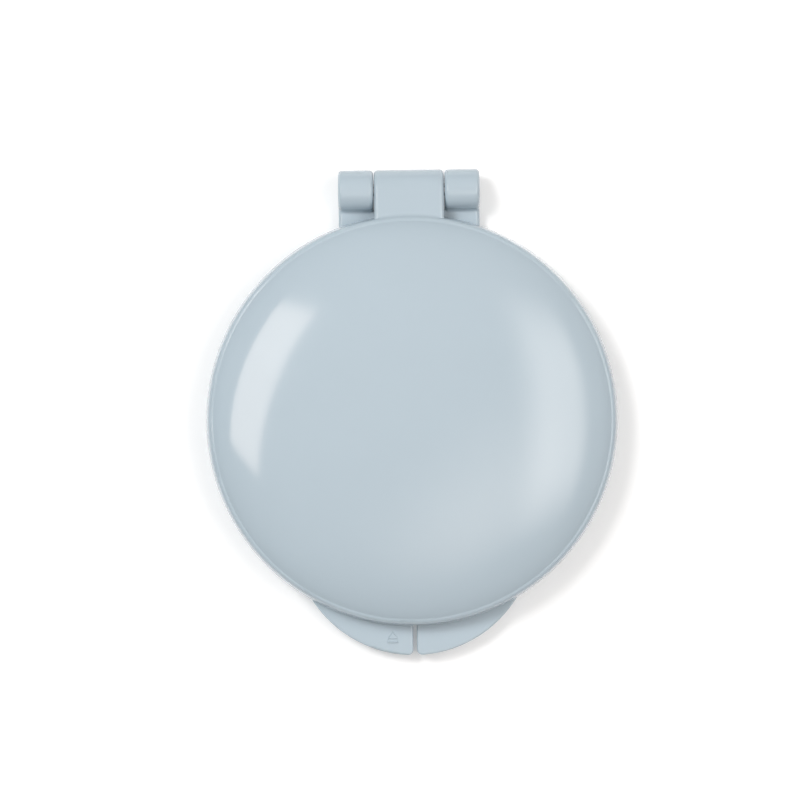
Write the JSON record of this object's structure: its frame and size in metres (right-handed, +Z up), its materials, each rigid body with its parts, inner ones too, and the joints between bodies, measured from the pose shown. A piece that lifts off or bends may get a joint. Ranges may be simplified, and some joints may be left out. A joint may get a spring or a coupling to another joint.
{
  "type": "wet palette",
  "caption": "Round pocket wet palette: a domed lid on a bowl-shaped base, with a pin hinge at the back, a split thumb tab at the front, and a sponge, paper and mixing insert inside.",
  "frame": {"origin": "on the table, at the centre of the foot ring's resting face, under the middle of the round body", "axes": "+Z up, +Y towards the hinge, +X to the right of someone who has the thumb tab towards them"},
  "size_m": [0.0998, 0.1178, 0.0203],
  "materials": {
    "shell": "glossy pale blue-grey plastic",
    "pin": "drawn stainless steel",
    "seal": "soft translucent silicone",
    "insert": "white plastic that paint wipes off",
    "foot": "matte silicone",
    "sponge": "fine open-cell sponge",
    "paper": "damp hydration paper",
    "clamp_ring": "satin blue-grey plastic"
  },
  "bodies": {
    "base": {"base_shell": "shell", "hinge_pin": "pin", "foot_ring": "foot", "sponge": "sponge", "membrane_sheet": "paper", "paper_ring": "clamp_ring"},
    "lid": {"lid_shell": "shell", "seal_ring": "seal", "mixing_insert": "insert"}
  },
  "joints": [
    {"name": "lid_hinge", "type": "hinge", "parent": "base", "child": "lid", "pos_m": [0, 0.0559, 0.0056], "axis": [-1, 0, 0], "range_deg": [0, 165]}
  ]
}
